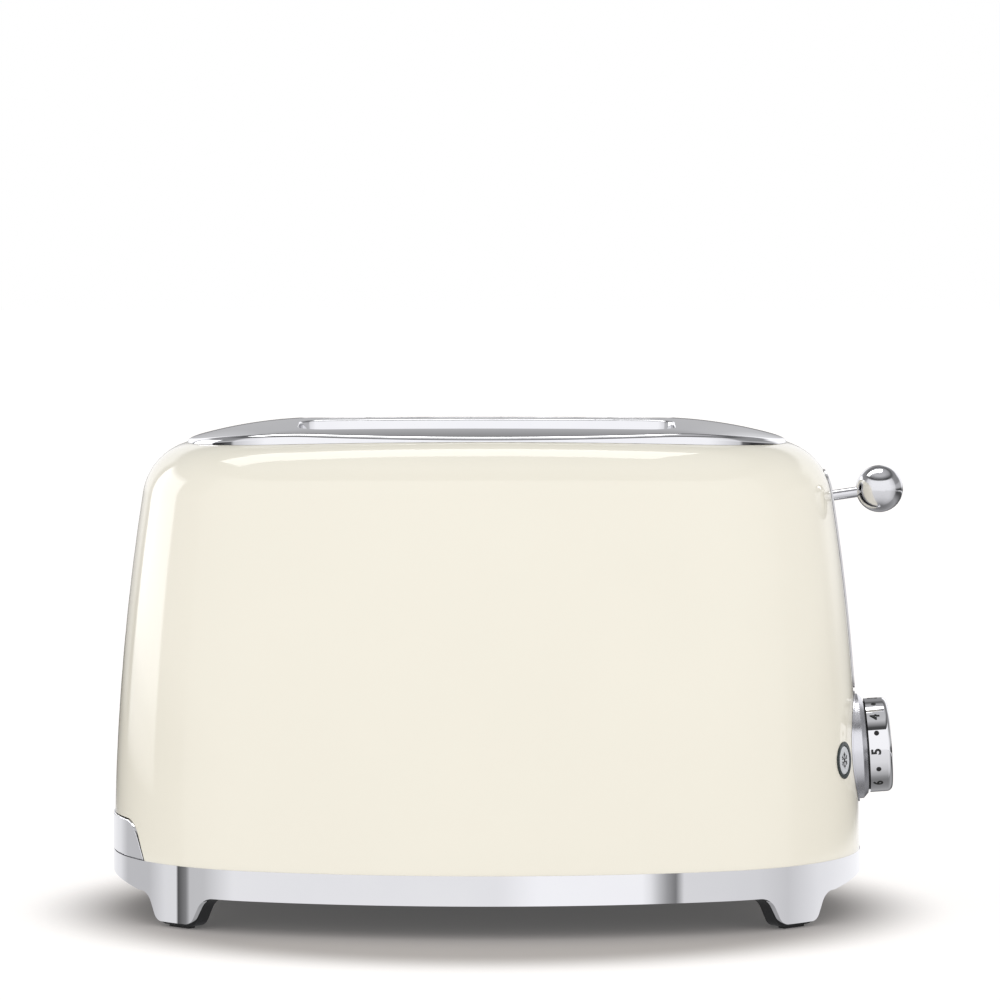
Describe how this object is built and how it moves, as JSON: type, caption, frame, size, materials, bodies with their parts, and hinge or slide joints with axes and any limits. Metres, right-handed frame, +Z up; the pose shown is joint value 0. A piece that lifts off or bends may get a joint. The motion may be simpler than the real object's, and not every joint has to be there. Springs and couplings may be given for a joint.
{
  "type": "pop up toaster",
  "caption": "Oval pop up toaster with long bread slots in a domed chrome top, a ball lever, browning dial, push buttons, pull-out crumb tray and chrome footed base.",
  "frame": {"origin": "centre of the bounding box in plan, on the floor the foot pads stand on", "axes": "+X from the crumb tray end towards the lever and dial, -Y the front face, +Z up"},
  "size_m": [0.3236, 0.1956, 0.2016],
  "materials": {
    "cream_enamel": "gloss enamel",
    "chrome": "polished",
    "satin_silver": "satin",
    "black_plastic": "matt",
    "dark_plastic": "semi gloss",
    "pale_plastic": "semi gloss",
    "soft_rubber": "matt",
    "zinc_steel": "plain zinc plated",
    "bright_wire": "bright drawn",
    "spring_steel": "drawn",
    "mica": "dull sheet",
    "heater_alloy": "dull",
    "magnet_iron": "plain",
    "copper_winding": "lacquered",
    "circuit_green": "solder mask",
    "white_nylon": "matt"
  },
  "bodies": {
    "housing": {"base_pan": "black_plastic", "base_ring": "chrome", "base_screws": "bright_wire", "body_shell": "cream_enamel", "browning_control": "white_nylon", "control_board": "circuit_green", "control_end_plate": "zinc_steel", "cord_gland": "black_plastic", "defrost_bezel": "dark_plastic", "defrost_switch": "black_plastic", "dial_collar": "satin_silver", "dial_gap_ring": "black_plastic", "foot_pads": "soft_rubber", "front_heat_shield": "zinc_steel", "front_inner_heater_board": "mica", "front_inner_heater_ribbon": "heater_alloy", "front_outer_heater_board": "mica", "front_outer_heater_ribbon": "heater_alloy", "guide_rods": "bright_wire", "lever_slot_trim": "satin_silver", "lift_spring": "spring_steel", "magnet_coil": "copper_winding", "magnet_core": "magnet_iron", "rear_heat_shield": "zinc_steel", "rear_inner_heater_board": "mica", "rear_inner_heater_ribbon": "heater_alloy", "rear_outer_heater_board": "mica", "rear_outer_heater_ribbon": "heater_alloy", "reheat_bezel": "dark_plastic", "reheat_switch": "black_plastic", "terminal_block": "white_nylon", "top_plate": "chrome", "tray_end_plate": "zinc_steel"},
    "carriage_set": {"carriage": "zinc_steel", "front_bread_rack": "zinc_steel", "rear_bread_rack": "zinc_steel", "lever_rod": "chrome", "lever_ball": "chrome", "armature_plate": "magnet_iron"},
    "dial_set": {"dial_knob": "chrome", "dial_shaft": "bright_wire"},
    "defrost_key": {"defrost_button": "pale_plastic"},
    "reheat_key": {"reheat_button": "pale_plastic"},
    "tray_set": {"crumb_tray": "zinc_steel", "crumb_tray_handle": "chrome"},
    "front_outer_guard_set": {"front_outer_guard": "bright_wire"},
    "front_inner_guard_set": {"front_inner_guard": "bright_wire"},
    "rear_outer_guard_set": {"rear_outer_guard": "bright_wire"},
    "rear_inner_guard_set": {"rear_inner_guard": "bright_wire"}
  },
  "joints": [
    {"name": "carriage_slide", "type": "slide", "parent": "housing", "child": "carriage_set", "axis": [0, 0, -1], "range_m": [0, 0.07], "stiffness_N_per_m": 70, "springref_m": -0.07, "deforming": ["lift_spring"]},
    {"name": "dial_turn", "type": "hinge", "parent": "housing", "child": "dial_set", "pos_m": [0.14304, 0, 0.0667], "axis": [0.9976, 0, 0.0698], "range_deg": [-135, 90]},
    {"name": "crumb_tray_slide", "type": "slide", "parent": "housing", "child": "tray_set", "axis": [-1, 0, 0], "range_m": [0, 0.232]},
    {"name": "defrost_press", "type": "slide", "parent": "housing", "child": "defrost_key", "axis": [-0.9168, 0.3964, -0.0485], "range_m": [0, 0.0015], "stiffness_N_per_m": 600, "springref_m": -0.001},
    {"name": "reheat_press", "type": "slide", "parent": "housing", "child": "reheat_key", "axis": [-0.9168, -0.3964, -0.0485], "range_m": [0, 0.0015], "stiffness_N_per_m": 600, "springref_m": -0.001},
    {"name": "front_outer_guard_close", "type": "slide", "parent": "housing", "child": "front_outer_guard_set", "axis": [0, 1, 0], "range_m": [0, 0.009]},
    {"name": "front_inner_guard_close", "type": "slide", "parent": "housing", "child": "front_inner_guard_set", "axis": [0, -1, 0], "range_m": [0, 0.009]},
    {"name": "rear_outer_guard_close", "type": "slide", "parent": "housing", "child": "rear_outer_guard_set", "axis": [0, -1, 0], "range_m": [0, 0.009]},
    {"name": "rear_inner_guard_close", "type": "slide", "parent": "housing", "child": "rear_inner_guard_set", "axis": [0, 1, 0], "range_m": [0, 0.009]}
  ],
  "couplings": [
    {"joint": "front_outer_guard_close", "follows": "carriage_slide", "ratio": 0.128},
    {"joint": "front_inner_guard_close", "follows": "carriage_slide", "ratio": 0.128},
    {"joint": "rear_outer_guard_close", "follows": "carriage_slide", "ratio": 0.128},
    {"joint": "rear_inner_guard_close", "follows": "carriage_slide", "ratio": 0.128}
  ]
}
